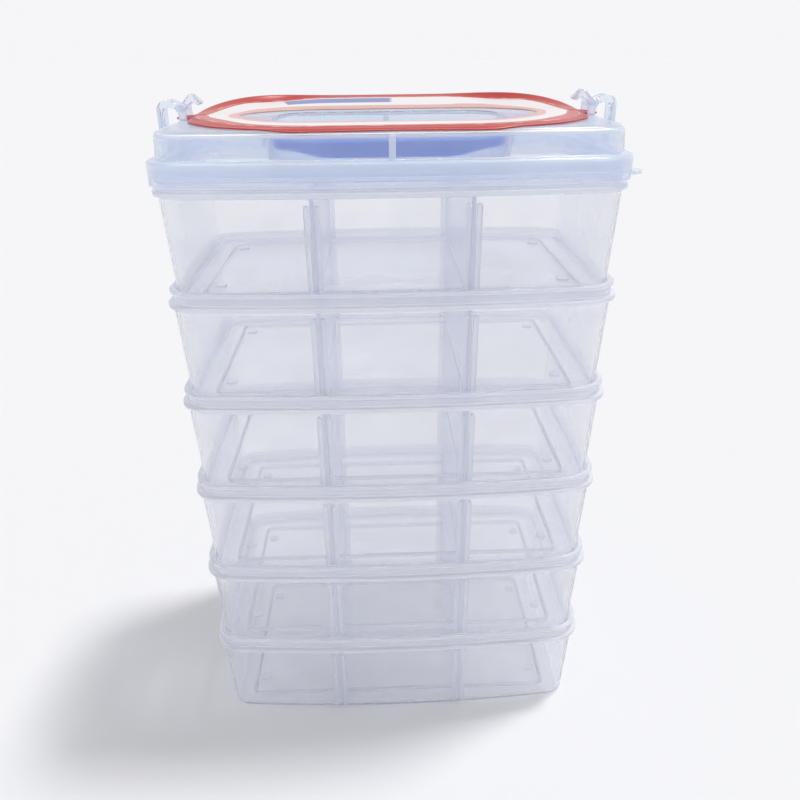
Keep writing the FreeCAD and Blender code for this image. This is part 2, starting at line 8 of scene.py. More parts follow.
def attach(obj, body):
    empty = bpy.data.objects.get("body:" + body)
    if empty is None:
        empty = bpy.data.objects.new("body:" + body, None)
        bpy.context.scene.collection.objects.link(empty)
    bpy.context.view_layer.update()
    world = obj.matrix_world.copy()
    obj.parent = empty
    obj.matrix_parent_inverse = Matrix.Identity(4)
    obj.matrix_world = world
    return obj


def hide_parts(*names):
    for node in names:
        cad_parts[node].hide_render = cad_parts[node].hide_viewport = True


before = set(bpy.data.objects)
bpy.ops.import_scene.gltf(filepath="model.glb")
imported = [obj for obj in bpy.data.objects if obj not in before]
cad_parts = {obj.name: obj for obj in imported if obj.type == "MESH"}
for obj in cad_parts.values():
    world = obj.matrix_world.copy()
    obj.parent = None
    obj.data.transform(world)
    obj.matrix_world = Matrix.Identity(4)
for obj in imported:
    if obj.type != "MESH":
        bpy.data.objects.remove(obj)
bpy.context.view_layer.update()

# Trays: six equal tubs, injection moulded in clear polypropylene. Thin walls lean outwards to a rim with a
# flange, a collar and a bead, and the base of each tray drops into the collar of the one below it.
MM = 0.001
TRAY_COUNT = 6
TRAY_PITCH = 60.5
PLAN_HALF_WIDTH = 125.9
PLAN_HALF_DEPTH = 82.0
PLAN_BOW = 1200.0
PLAN_CORNER = 20.0


def plan_ring(inset):
    """Points of the box's plan, set in by inset: straight ends, bowed long sides, round corners."""
    corner = PLAN_CORNER - inset
    bow = PLAN_BOW - inset
    bow_centre = PLAN_BOW - PLAN_HALF_DEPTH
    corner_x = PLAN_HALF_WIDTH - PLAN_CORNER
    corner_y = math.sqrt((PLAN_BOW - PLAN_CORNER) ** 2 - corner_x**2) - bow_centre
    turn = math.atan2(corner_y + bow_centre, corner_x)
    quarter = [turn * step / 10 for step in range(11)]
    sweep = [turn + (math.pi / 2 - turn) * step / 14 for step in range(1, 14)]
    side = [(corner_x + corner * math.cos(t), corner_y + corner * math.sin(t)) for t in quarter]
    side += [(bow * math.cos(t), bow * math.sin(t) - bow_centre) for t in sweep]
    mirrored = [(-x, y) for x, y in reversed(side)]
    top = [(PLAN_HALF_WIDTH - inset, corner_y * step / 4) for step in range(4)] + side
    top += [(0.0, PLAN_HALF_DEPTH - inset)] + mirrored
    top += [(-(PLAN_HALF_WIDTH - inset), corner_y * step / 4) for step in (3, 2, 1)]
    return top + [(-x, -y) for x, y in top]


def rounded_path(corners, closed=False, steps=5):
    """A path of (u, v, radius) corners with each corner turned into an arc."""
    points = []
    count = len(corners)
    for i, (u, v, radius) in enumerate(corners):
        here = Vector((u, v))
        if radius == 0 or (not closed and i in (0, count - 1)):
            points.append((u, v))
            continue
        before = (Vector(corners[i - 1][:2]) - here).normalized()
        after = (Vector(corners[(i + 1) % count][:2]) - here).normalized()
        half = before.angle(after) / 2
        middle = here + (before + after).normalized() * (radius / math.sin(half))
        start = here + before * (radius / math.tan(half)) - middle
        end = here + after * (radius / math.tan(half)) - middle
        swing = start.angle_signed(end)
        for step in range(steps + 1):
            turned = start.copy()
            turned.rotate(Matrix.Rotation(-swing * step / steps, 2))
            points.append(tuple(middle + turned))
    return points


def add_rings(mesh, rings, close_start=False, close_end=False, milkiness=0.0):
    """Skins a list of equal closed rings of (x, y, z) points into a bmesh. Milkiness, one number or one for
    each ring, says how much thicker the plastic looks there than a plain wall, from 0 to 1."""
    layer = mesh.verts.layers.float.get("milkiness") or mesh.verts.layers.float.new("milkiness")
    rows = [[mesh.verts.new(Vector(p) * MM) for p in ring] for ring in rings]
    for i, row in enumerate(rows):
        for vert in row:
            vert[layer] = milkiness[i] if isinstance(milkiness, list) else milkiness
    for low, high in zip(rows, rows[1:]):
        for i in range(len(low)):
            j = (i + 1) % len(low)
            mesh.faces.new((low[i], low[j], high[j], high[i]))
    if close_start:
        mesh.faces.new(reversed(rows[0]))
    if close_end:
        mesh.faces.new(rows[-1])
    return rows


def add_plan_sweep(mesh, profile, **ends):
    """Sweeps (inset, height) points round the box's plan."""
    return add_rings(mesh, [[(x, y, z) for x, y in plan_ring(inset)] for inset, z in profile], **ends)


def new_piece(name, mesh, sharp=35):
    """Turns a bmesh into an object at the origin, smooth but for edges sharper than an angle."""
    bmesh.ops.remove_doubles(mesh, verts=mesh.verts, dist=1e-6)
    bmesh.ops.recalc_face_normals(mesh, faces=mesh.faces)
    data = bpy.data.meshes.new(name)
    mesh.to_mesh(data)
    mesh.free()
    data.shade_smooth()
    data.set_sharp_from_angle(angle=math.radians(sharp))
    piece = bpy.data.objects.new(name, data)
    bpy.context.scene.collection.objects.link(piece)
    return piece


FLOOR_UNDER = 1.6
FLOOR_TOP = 3.4
FLOOR_INSET = 17.0
WALL_FOOT_OUT = 6.15
WALL_FOOT_IN = 7.8
WALL_HEAD_OUT = 2.85
WALL_HEAD_IN = 4.6
FLANGE_LOW = 58.1
FLANGE_TOP = 61.1
COLLAR_OUT = 2.8
COLLAR_IN = 4.8
BEAD_OUT = 1.5
BEAD_LOW = 66.1
RIM_TOP = 68.7
SEAT_IN = 7.8
SEAT_LOW = 60.1
SEAT_TOP = 62.1
# Points with no radius lie on the straight runs, where the milky look of the rim and the floor fades out.
tray_profile = rounded_path(
    [
        (FLOOR_INSET, FLOOR_UNDER, 0),
        (WALL_FOOT_OUT, FLOOR_UNDER, 2.5),
        (5.9, 6.0, 0),
        (2.94, 56.5, 0),
        (WALL_HEAD_OUT, FLANGE_LOW, 0.8),
        (0.0, FLANGE_LOW, 1.1),
        (0.0, FLANGE_TOP, 1.1),
        (COLLAR_OUT, FLANGE_TOP, 0.7),
        (COLLAR_OUT, 62.2, 0),
        (COLLAR_OUT, 65.2, 0),
        (COLLAR_OUT, BEAD_LOW, 0.5),
        (BEAD_OUT, BEAD_LOW, 0.9),
        (BEAD_OUT, RIM_TOP, 1.0),
        (COLLAR_IN, RIM_TOP, 0.9),
        (COLLAR_IN, 67.2, 0),
        (COLLAR_IN, 63.2, 0),
        (COLLAR_IN, SEAT_TOP, 0.5),
        (SEAT_IN, SEAT_TOP, 0.7),
        (SEAT_IN, SEAT_LOW, 0.7),
        (WALL_HEAD_IN, SEAT_LOW, 0.8),
        (4.78, 57.0, 0),
        (7.6, 7.0, 0),
        (WALL_FOOT_IN, FLOOR_TOP, 2.0),
        (FLOOR_INSET, FLOOR_TOP, 0),
    ]
)


def rounded_rect(half_x, half_y, radius, steps=8):
    """Points of a rectangle with round corners, centred on the origin."""
    points = []
    for quarter, (sx, sy) in enumerate(((1, 1), (-1, 1), (-1, -1), (1, -1))):
        for step in range(steps + 1):
            t = (quarter + step / steps) * math.pi / 2
            points.append(
                (sx * (half_x - radius) + radius * math.cos(t), sy * (half_y - radius) + radius * math.sin(t))
            )
    return points


def add_rect_sweep(mesh, half_x, half_y, radius, profile, **ends):
    """Sweeps (inset, height) points round a rounded rectangle."""
    rings = []
    for inset, z in profile:
        rings.append([(x, y, z) for x, y in rounded_rect(half_x - inset, half_y - inset, radius - inset)])
    return add_rings(mesh, rings, **ends)


COLLAR_MILKINESS = 0.3
RIM_MILKINESS = 0.9
FLOOR_MILKINESS = 0.25
FOOT_HALF_X = 106.7
FOOT_HALF_Y = 60.0
FOOT_CORNER = 6.0
FOOT_WIDTH = 2.2
tray_milkiness = []
for inset, z in tray_profile:
    in_collar = SEAT_TOP - 0.1 < z < BEAD_LOW + 1.2 and inset > BEAD_OUT + 1.0
    at_floor_edge = z < FLOOR_TOP + 0.6 and inset < 12.0
    if in_collar:
        tray_milkiness.append(COLLAR_MILKINESS)
    elif z > FLANGE_LOW - 0.1:
        tray_milkiness.append(RIM_MILKINESS)
    else:
        tray_milkiness.append(FLOOR_MILKINESS if at_floor_edge else 0.0)
tray_mesh = bmesh.new()
add_plan_sweep(tray_mesh, tray_profile, close_start=True, close_end=True, milkiness=tray_milkiness)
foot_ring = rounded_path(
    [(0.0, 2.0, 0), (0.0, 0.0, 0.5), (FOOT_WIDTH, 0.0, 0.5), (FOOT_WIDTH, 2.0, 0)], steps=3
)
floor_bead = rounded_path([(0.0, 3.1, 0), (0.15, 3.9, 0.3), (1.15, 3.9, 0.3), (1.3, 3.1, 0)], steps=3)
for raised_line, milkiness in ((foot_ring, 0.2), (floor_bead, FLOOR_MILKINESS)):
    add_rect_sweep(tray_mesh, FOOT_HALF_X, FOOT_HALF_Y, FOOT_CORNER, raised_line, milkiness=milkiness)
tray_body = new_piece("tray_body", tray_mesh)


def put(tree, kind, inputs=None, **settings):
    """Adds a node with its settings, values and links."""
    node = tree.nodes.new(kind)
    for name, value in settings.items():
        setattr(node, name, value)
    for socket, value in (inputs or {}).items():
        if isinstance(value, bpy.types.NodeSocket):
            tree.links.new(value, node.inputs[socket])
        else:
            node.inputs[socket].default_value = value
    return node


def linear(hex_colour, alpha=1.0):
    """An sRGB hex colour as linear RGBA."""
    parts = [int(hex_colour[i : i + 2], 16) / 255 for i in (1, 3, 5)]
    return tuple(c / 12.92 if c <= 0.04045 else ((c + 0.055) / 1.055) ** 2.4 for c in parts) + (alpha,)


POLYPROPYLENE_IOR = 1.49
FLOW_MARK_WIDTH = 35
GLOW_SHARE = 0.45
EDGE_FALL = 4.0
LAMP_SHARE = 0.6


def see_through_plastic(name, tint, thick_tint, cast, veil, thick_veil, edge_veil, roughness, haze):
    """Moulded polypropylene: clear with a milky veil, denser in thick places and where it is seen along the
    wall. Flow marks vary the veil, and lamps pass it more easily than the eye does."""
    material = bpy.data.materials.new(name)
    material.use_nodes = True
    tree = material.node_tree
    tree.nodes.clear()
    place = put(tree, "ShaderNodeTexCoord").outputs["Object"]
    flow = put(
        tree, "ShaderNodeTexNoise", {"Vector": place, "Scale": 1 / (FLOW_MARK_WIDTH * MM), "Detail": 1.0}
    )
    thickness = put(tree, "ShaderNodeAttribute", attribute_name="milkiness")
    milk = put(
        tree,
        "ShaderNodeMix",
        {"Factor": thickness.outputs["Fac"], "A": linear(tint), "B": linear(thick_tint)},
        data_type="RGBA",
    ).outputs["Result"]
    skin = put(
        tree,
        "ShaderNodeBsdfPrincipled",
        {"Base Color": milk, "Roughness": roughness, "IOR": POLYPROPYLENE_IOR},
    )
    glow = put(tree, "ShaderNodeBsdfTranslucent", {"Color": milk})
    body = put(
        tree, "ShaderNodeMixShader", {0: GLOW_SHARE, 1: skin.outputs["BSDF"], 2: glow.outputs["BSDF"]}
    )
    clear = put(tree, "ShaderNodeBsdfTransparent", {"Color": linear(cast)})
    facing = put(tree, "ShaderNodeLayerWeight", {"Blend": 0.5})
    bent = put(tree, "ShaderNodeMath", {0: facing.outputs["Facing"], 1: EDGE_FALL}, operation="POWER")
    uneven = put(
        tree,
        "ShaderNodeMapRange",
        {
            "Value": flow.outputs["Fac"],
            "From Min": 0.3,
            "From Max": 0.7,
            "To Min": veil * 0.75,
            "To Max": veil * 1.25,
        },
    )
    square_on = put(
        tree,
        "ShaderNodeMapRange",
        {"Value": thickness.outputs["Fac"], "To Min": uneven.outputs["Result"], "To Max": thick_veil},
    )
    seen_along = put(
        tree,
        "ShaderNodeMapRange",
        {"Value": bent.outputs["Value"], "To Min": square_on.outputs["Result"], "To Max": edge_veil},
    )
    glass = put(
        tree,
        "ShaderNodeBsdfPrincipled",
        {
            "Base Color": linear(cast),
            "Roughness": haze,
            "IOR": POLYPROPYLENE_IOR,
            "Transmission Weight": 1.0,
        },
    )
    path = put(tree, "ShaderNodeLightPath").outputs
    lit = put(
        tree, "ShaderNodeMath", {0: path["Is Shadow Ray"], 1: path["Is Diffuse Ray"]}, operation="MAXIMUM"
    )
    window = put(
        tree,
        "ShaderNodeMixShader",
        {0: lit.outputs["Value"], 1: glass.outputs["BSDF"], 2: clear.outputs["BSDF"]},
    )
    share = put(
        tree, "ShaderNodeMapRange", {"Value": lit.outputs["Value"], "To Min": 1.0, "To Max": LAMP_SHARE}
    )
    shown = put(
        tree,
        "ShaderNodeMath",
        {0: seen_along.outputs["Result"], 1: share.outputs["Result"]},
        operation="MULTIPLY",
    )
    mixed = put(
        tree,
        "ShaderNodeMixShader",
        {0: shown.outputs["Value"], 1: window.outputs["Shader"], 2: body.outputs["Shader"]},
    )
    put(tree, "ShaderNodeOutputMaterial", {"Surface": mixed.outputs["Shader"]})
    return material


tray_plastic = see_through_plastic(
    "clear_moulded_polypropylene",
    tint="#ECEEF8",
    thick_tint="#F7F8FE",
    cast="#FEFEFE",
    veil=0.12,
    thick_veil=0.82,
    edge_veil=0.85,
    roughness=0.12,
    haze=0.03,
)

# Guides and pads: two pairs of ribs on the front wall and two on the back hold the dividers, and four small
# round pads sit in the corners of the floor. They are moulded in one with the tray.
GUIDE_X = 42.0
GUIDE_RIB = 2.8
GUIDE_SLOT = 2.8
GUIDE_DEPTH = 4.6
GUIDE_FOOT = 2.8
GUIDE_TOP = 53.6
GUIDE_EASE = 0.45
WALL_LEAN = 3.2 / 56.5
rib_mesh = bmesh.new()
rib_outline = rounded_path(
    [
        (-GUIDE_RIB / 2, GUIDE_FOOT, 0),
        (GUIDE_RIB / 2, GUIDE_FOOT, 0),
        (GUIDE_RIB / 2, GUIDE_TOP, 1.0),
        (-GUIDE_RIB / 2, GUIDE_TOP, 1.0),
    ],
    closed=True,
    steps=4,
)
rib_rows = []
for depth, shrink in ((0.0, 0.0), (GUIDE_DEPTH - 0.5, 0.0), (GUIDE_DEPTH, GUIDE_EASE)):
    half = GUIDE_RIB / 2 - shrink
    row = []
    for u, v in rib_outline:
        row.append((max(-half, min(half, u)), depth - v * WALL_LEAN, min(v, GUIDE_TOP - shrink)))
    rib_rows.append(row)
add_rings(rib_mesh, rib_rows, close_start=True, close_end=True, milkiness=0.35)
guide_rib = new_piece("guide_rib", rib_mesh)
PAD_X = 98.9
PAD_Y = 44.0
PAD_RADIUS = 3.5
PAD_TOP = 4.2
pad_mesh = bmesh.new()
pad_rings = []
pad_steps = ((PAD_RADIUS, 2.9), (PAD_RADIUS, PAD_TOP - 0.3), (PAD_RADIUS - 0.4, PAD_TOP), (1.6, PAD_TOP))
for radius, z in pad_steps:
    turns = [math.tau * i / 24 for i in range(24)]
    pad_rings.append([(radius * math.cos(t), radius * math.sin(t), z) for t in turns])
add_rings(pad_mesh, pad_rings, close_start=True, close_end=True, milkiness=0.2)
floor_pad = new_piece("floor_pad", pad_mesh)

fittings_tree = bpy.data.node_groups.new("tray_fittings", "GeometryNodeTree")
for socket_name, kind in (
    ("Tray", "NodeSocketGeometry"),
    ("Rib", "NodeSocketObject"),
    ("Pad", "NodeSocketObject"),
    ("Guide spacing", "NodeSocketFloat"),
    ("Slot pitch", "NodeSocketFloat"),
    ("Wall distance", "NodeSocketFloat"),
    ("Pad spacing X", "NodeSocketFloat"),
    ("Pad spacing Y", "NodeSocketFloat"),
    ("Plastic", "NodeSocketMaterial"),
):
    fittings_tree.interface.new_socket(socket_name, in_out="INPUT", socket_type=kind)
fittings_tree.interface.new_socket("Tray", in_out="OUTPUT", socket_type="NodeSocketGeometry")
group_in = put(fittings_tree, "NodeGroupInput").outputs


def four_points(spread_x, spread_y):
    """Four points at plus and minus half of each spread, from a two by two grid."""
    return put(
        fittings_tree,
        "GeometryNodeMeshGrid",
        {"Size X": spread_x, "Size Y": spread_y, "Vertices X": 2, "Vertices Y": 2},
    ).outputs["Mesh"]


def on_points(points, thing, turn=None):
    """An object's mesh set on each point, turned if a turn is given."""
    shape = put(fittings_tree, "GeometryNodeObjectInfo", {"Object": thing}, transform_space="RELATIVE")
    inputs = {"Points": points, "Instance": shape.outputs["Geometry"]}
    if turn is not None:
        inputs["Rotation"] = turn
    return put(fittings_tree, "GeometryNodeInstanceOnPoints", inputs).outputs["Instances"]


rib_sets = []
for way in (1, -1):
    step = put(
        fittings_tree, "ShaderNodeMath", {0: group_in["Slot pitch"], 1: float(way)}, operation="MULTIPLY"
    )
    spread = put(
        fittings_tree, "ShaderNodeMath", {0: group_in["Guide spacing"], 1: step.outputs[0]}, operation="ADD"
    )
    depth = put(
        fittings_tree, "ShaderNodeMath", {0: group_in["Wall distance"], 1: 2.0}, operation="MULTIPLY"
    )
    spot = put(fittings_tree, "GeometryNodeInputPosition").outputs["Position"]
    spot_y = put(fittings_tree, "ShaderNodeSeparateXYZ", {0: spot}).outputs["Y"]
    at_back = put(fittings_tree, "ShaderNodeMath", {0: spot_y, 1: 0.0}, operation="GREATER_THAN")
    half_turn = put(
        fittings_tree, "ShaderNodeMath", {0: at_back.outputs[0], 1: math.pi}, operation="MULTIPLY"
    )
    turn = put(fittings_tree, "ShaderNodeCombineXYZ", {"Z": half_turn.outputs[0]})
    corners = four_points(spread.outputs[0], depth.outputs[0])
    rib_sets.append(on_points(corners, group_in["Rib"], turn.outputs["Vector"]))
pads = on_points(four_points(group_in["Pad spacing X"], group_in["Pad spacing Y"]), group_in["Pad"])
joined = put(fittings_tree, "GeometryNodeJoinGeometry")
for part in (group_in["Tray"], rib_sets[0], rib_sets[1], pads):
    fittings_tree.links.new(part, joined.inputs["Geometry"])
whole = put(fittings_tree, "GeometryNodeRealizeInstances", {"Geometry": joined.outputs["Geometry"]})
coated = put(
    fittings_tree,
    "GeometryNodeSetMaterial",
    {"Geometry": whole.outputs["Geometry"], "Material": group_in["Plastic"]},
)
put(fittings_tree, "NodeGroupOutput", {"Tray": coated.outputs["Geometry"]})


def run_tree(carrier, tree, values, name):
    """Runs a geometry tree on an object and keeps the result as a plain mesh."""
    modifier = carrier.modifiers.new("tree", "NODES")
    modifier.node_group = tree
    sockets = {item.name: item.identifier for item in tree.interface.items_tree if item.in_out == "INPUT"}
    for socket_name, value in values.items():
        modifier[sockets[socket_name]] = value
    bpy.context.view_layer.update()
    graph = bpy.context.evaluated_depsgraph_get()
    data = bpy.data.meshes.new_from_object(carrier.evaluated_get(graph), depsgraph=graph)
    data.name = name
    carrier.modifiers.remove(modifier)
    return data


RIB_SINK = 0.6
wall_at_guide = PLAN_HALF_DEPTH - WALL_FOOT_IN - GUIDE_X**2 / (2 * PLAN_BOW) + RIB_SINK
tray_data = run_tree(
    tray_body,
    fittings_tree,
    {
        "Rib": guide_rib,
        "Pad": floor_pad,
        "Guide spacing": 2 * GUIDE_X * MM,
        "Slot pitch": (GUIDE_SLOT + GUIDE_RIB) * MM,
        "Wall distance": wall_at_guide * MM,
        "Pad spacing X": 2 * PAD_X * MM,
        "Pad spacing Y": 2 * PAD_Y * MM,
        "Plastic": tray_plastic,
    },
    "tray_shell",
)
for helper in (tray_body, guide_rib, floor_pad):
    bpy.data.objects.remove(helper)


def place_copy(data, name, body, node, offset):
    """A copy of a mesh moved to its place, riding on a body in place of a CAD node."""
    mesh = data.copy()
    mesh.transform(Matrix.Translation(Vector(offset) * MM))
    piece = bpy.data.objects.new(name, mesh)
    bpy.context.scene.collection.objects.link(piece)
    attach(piece, body)
    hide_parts(node)
    return piece


for number in range(1, TRAY_COUNT + 1):
    lift = TRAY_PITCH * (TRAY_COUNT - number)
    place_copy(
        tray_data, f"tray_{number}_shell", f"tray_{number}", f"tray_{number}", (0, 0, lift)
    )

# Dividers: plain plates of the same clear polypropylene, two in each tray. They drop between the guide ribs
# and have round top corners so that they slide in without catching.
DIVIDER_HALF_LENGTH = 73.1
DIVIDER_HALF_THICK = 1.1
DIVIDER_FOOT = 3.45
DIVIDER_TOP = 59.9
DIVIDER_EASE = 0.35
DIVIDER_EDGE_BAND = 2.5
divider_mesh = bmesh.new()
plate_side = rounded_path(
    [
        (-DIVIDER_HALF_LENGTH, DIVIDER_FOOT, 0.8),
        (DIVIDER_HALF_LENGTH, DIVIDER_FOOT, 0.8),
        (DIVIDER_HALF_LENGTH, DIVIDER_TOP, 2.5),
        (-DIVIDER_HALF_LENGTH, DIVIDER_TOP, 2.5),
    ],
    closed=True,
)
half_steps = [
    (DIVIDER_HALF_THICK - DIVIDER_EASE, 0.0),
    (DIVIDER_HALF_THICK, DIVIDER_EASE),
    (DIVIDER_HALF_THICK, DIVIDER_EDGE_BAND),
]
plate_steps = [(-x, inset) for x, inset in reversed(half_steps)] + half_steps
plate_rings = []
for x, inset in plate_steps:
    ring = []
    for y, z in plate_side:
        inwards = 1 if z < DIVIDER_TOP / 2 else -1
        ring.append((x, y * (1 - inset / DIVIDER_HALF_LENGTH), z + inset * inwards))
    plate_rings.append(ring)
plate_milkiness = [0.0 if inset == DIVIDER_EDGE_BAND else 1.0 for x, inset in plate_steps]
add_rings(divider_mesh, plate_rings, close_start=True, close_end=True, milkiness=plate_milkiness)
divider_plate = new_piece("divider_plate", divider_mesh)
divider_plastic = see_through_plastic(
    "clear_divider_polypropylene",
    tint="#E2E7F8",
    thick_tint="#E6EBFA",
    cast="#FEFEFE",
    veil=0.1,
    thick_veil=0.6,
    edge_veil=0.85,
    roughness=0.14,
    haze=0.04,
)
divider_plate.data.materials.append(divider_plastic)
for number in range(1, TRAY_COUNT + 1):
    for word, side in (("left", -1), ("right", 1)):
        name = f"divider_{number}_{word}"
        lift = TRAY_PITCH * (TRAY_COUNT - number)
        offset = (GUIDE_X * side, 0, lift)
        place_copy(divider_plate.data, name + "_plate", name, name, offset)
bpy.data.objects.remove(divider_plate)

# Lid: one injection moulding in milky blue polypropylene. A skirt hangs round the top tray's collar, a
# shoulder steps in to the raised top, and the top has a well for the handle and two pairs of lugs for the clips.
LID_Z = 360.6
PLATEAU = 32.0
PLATEAU_UNDER = 30.0
TOP_INSET = 4.9
TOP_FILLET = 3.4
SHOULDER = 17.8
SHOULDER_UNDER = 16.0
SKIRT_OUT = -0.8
SKIRT_IN = 1.0
SKIRT_FOOT = 5.1
# Milkiness at the lid's bends: a painted highlight along the skirt foot, the shoulder and the top edge.
BEND_HIGHLIGHT_MILKINESS = 0.75
WELL_HALF_X = 67.0
WELL_HALF_Y = 40.0
WELL_CORNER = 20.0
WELL_FLOOR = 8.0
WELL_WALL = 1.8
PIVOT_Z = 21.0
HINGE_X = 117.8
HINGE_Z = 38.3
lid_plastic = see_through_plastic(
    "milky_blue_polypropylene",
    tint="#EFF5FF",
    thick_tint="#F9FCFF",
    cast="#F5F9FF",
    veil=0.1,
    thick_veil=0.7,
    edge_veil=0.85,
    roughness=0.16,
    haze=0.12,
)


def add_lid_skin(mesh, profile, well_grow, well_profile):
    """One skin of the lid: round the plan up to the flat top, down the well, and the flat between them. Edges
    where the plastic turns are drawn milkier and whiter than the walls, a painted highlight along each bend."""
    bend_highlight = []
    for inset, z in profile:
        at_foot = z < SKIRT_FOOT + 1.4
        at_shoulder = SHOULDER_UNDER - 0.1 < z < SHOULDER + 0.2
        at_top_edge = z > PLATEAU_UNDER - 1.5 and inset < 8.5
        bend_highlight.append(BEND_HIGHLIGHT_MILKINESS if at_foot or at_shoulder or at_top_edge else 0.0)
    raised = [(inset, z + LID_Z) for inset, z in profile]
    around = add_plan_sweep(mesh, raised, milkiness=bend_highlight)
    down = add_rect_sweep(
        mesh,
        WELL_HALF_X + well_grow,
        WELL_HALF_Y + well_grow,
        WELL_CORNER + well_grow,
        [(inset, z + LID_Z) for inset, z in well_profile],
        close_end=True,
    )
    loops = []
    for row in (around[-1], down[0]):
        loops += [mesh.edges.get((row[i - 1], row[i])) for i in range(len(row))]
    bmesh.ops.bridge_loops(mesh, edges=loops)
    return around[0]


lid_mesh = bmesh.new()
top_skin = rounded_path(
    [
        (SKIRT_OUT, SKIRT_FOOT, 0),
        (SKIRT_OUT, 7.0, 0),
        (SKIRT_OUT, SHOULDER, 1.6),
        (4.0, SHOULDER, 0.9),
        (4.1, 19.5, 0),
        (4.7, 28.2, 0),
        (TOP_INSET, PLATEAU, TOP_FILLET),
        (8.8, PLATEAU, 0),
        (9.4, PLATEAU, 0),
    ]
)
top_well = rounded_path(
    [
        (-1.6, PLATEAU, 0),
        (-1.2, PLATEAU, 0),
        (0.0, PLATEAU, 0.8),
        (0.0, WELL_FLOOR, 1.6),
        (2.4, WELL_FLOOR, 0),
        (4.0, WELL_FLOOR, 0),
    ]
)
low_skin = rounded_path(
    [
        (SKIRT_IN, SKIRT_FOOT, 0),
        (SKIRT_IN, 7.0, 0),
        (SKIRT_IN, SHOULDER_UNDER, 0.6),
        (5.6, SHOULDER_UNDER, 0.8),
        (5.75, 18.5, 0),
        (6.4, 28.0, 0),
        (6.6, PLATEAU_UNDER, 1.6),
        (9.0, PLATEAU_UNDER, 0),
        (9.6, PLATEAU_UNDER, 0),
    ]
)
low_well = rounded_path(
    [
        (-1.4, PLATEAU_UNDER, 0),
        (-1.0, PLATEAU_UNDER, 0),
        (0.0, PLATEAU_UNDER, 0.7),
        (0.0, WELL_FLOOR - WELL_WALL, 1.6),
        (2.4, WELL_FLOOR - WELL_WALL, 0),
        (4.0, WELL_FLOOR - WELL_WALL, 0),
    ]
)
outer_rim = add_lid_skin(lid_mesh, top_skin, 0.0, top_well)
inner_rim = add_lid_skin(lid_mesh, low_skin, WELL_WALL, low_well)
for i in range(len(outer_rim)):
    lid_mesh.faces.new((outer_rim[i - 1], outer_rim[i], inner_rim[i], inner_rim[i - 1]))
lid = new_piece("lid_moulding", lid_mesh)


def turned(middle, radius, count=32):
    """Points of a circle in the plane across X, round a point."""
    x, y, z = middle
    turns = [math.tau * i / count for i in range(count)]
    return [(x, y + radius * math.cos(t), z + radius * math.sin(t)) for t in turns]


STUB_BORE = 2.3
BORE_START = 60.0
BORE_END = 72.2
drill_mesh = bmesh.new()
for side in (-1, 1):
    bore = [turned((x * side, 0, PIVOT_Z + LID_Z), STUB_BORE) for x in (BORE_START, BORE_END)]
    add_rings(drill_mesh, bore, close_start=True, close_end=True)
drill = new_piece("stub_drill", drill_mesh)
drilled = lid.modifiers.new("stub_holes", "BOOLEAN")
drilled.operation = "DIFFERENCE"
drilled.solver = "EXACT"
drilled.object = drill
bpy.context.view_layer.update()
graph = bpy.context.evaluated_depsgraph_get()
lid_data = bpy.data.meshes.new_from_object(lid.evaluated_get(graph), depsgraph=graph)
lid.modifiers.remove(drilled)
bpy.data.objects.remove(drill)

SEAT_RIB_FOOT = 10.6
SEAT_RIB_TOP = 16.5
BOSS_START = 68.2
BOSS_END = 73.5
BOSS_RADIUS = 6.5
BOSS_EASE = 0.6
BORE_TIP = 0.02
CENTRE_RIB_HALF = 1.75
CENTRE_RIB_DEPTH = 1.45
CENTRE_RIB_Y = 77.45
LUG_RADIUS = 2.7
LUG_BORE = 1.3
LUG_DROP = 7.0
LUG_WIDTH = 3.0
LUG_STARTS = (-9.4, 6.4)
FITTING_MILKINESS = 0.5


def lug_side():
    """The outline and the bore of a clip lug, seen along its pin: a round eye on a leg down to the lid."""
    outline, bore = [], []
    for i in range(40):
        t = math.tau * i / 40
        c, v = math.cos(t), math.sin(t)
        reach = LUG_RADIUS
        if v < 0:
            across = LUG_RADIUS / -c if c < 0 else LUG_RADIUS / 2 / max(c, 1e-6)
            reach = max(reach, min(across, LUG_DROP / -v))
        outline.append((reach * c, reach * v))
        bore.append((LUG_BORE * c, LUG_BORE * v))
    return outline, bore


fittings = bmesh.new()
fittings.from_mesh(lid_data)
seat = rounded_path(
    [
        (COLLAR_OUT, SEAT_RIB_TOP, 0),
        (COLLAR_OUT, SEAT_RIB_FOOT, 0.4),
        (COLLAR_IN, SEAT_RIB_FOOT, 0.4),
        (COLLAR_IN, SEAT_RIB_TOP, 0),
        (COLLAR_OUT, SEAT_RIB_TOP, 0),
    ],
    steps=3,
)
add_plan_sweep(fittings, [(i, z + LID_Z) for i, z in seat], milkiness=0.4)
boss = (
    (BOSS_START, STUB_BORE),
    (BORE_END, STUB_BORE),
    (BORE_END, BORE_TIP),
    (BOSS_END, BORE_TIP),
    (BOSS_END, BOSS_RADIUS - BOSS_EASE),
    (BOSS_END - BOSS_EASE, BOSS_RADIUS),
    (BOSS_START, BOSS_RADIUS),
    (BOSS_START, STUB_BORE),
)
lug_outline, lug_bore = lug_side()
lug_steps = (
    (lug_bore, 0.0, 0.0),
    (lug_outline, 0.0, 0.12),
    (lug_outline, 0.4, 0.0),
    (lug_outline, LUG_WIDTH - 0.4, 0.0),
    (lug_outline, LUG_WIDTH, 0.12),
    (lug_bore, LUG_WIDTH, 0.0),
    (lug_bore, 0.0, 0.0),
)
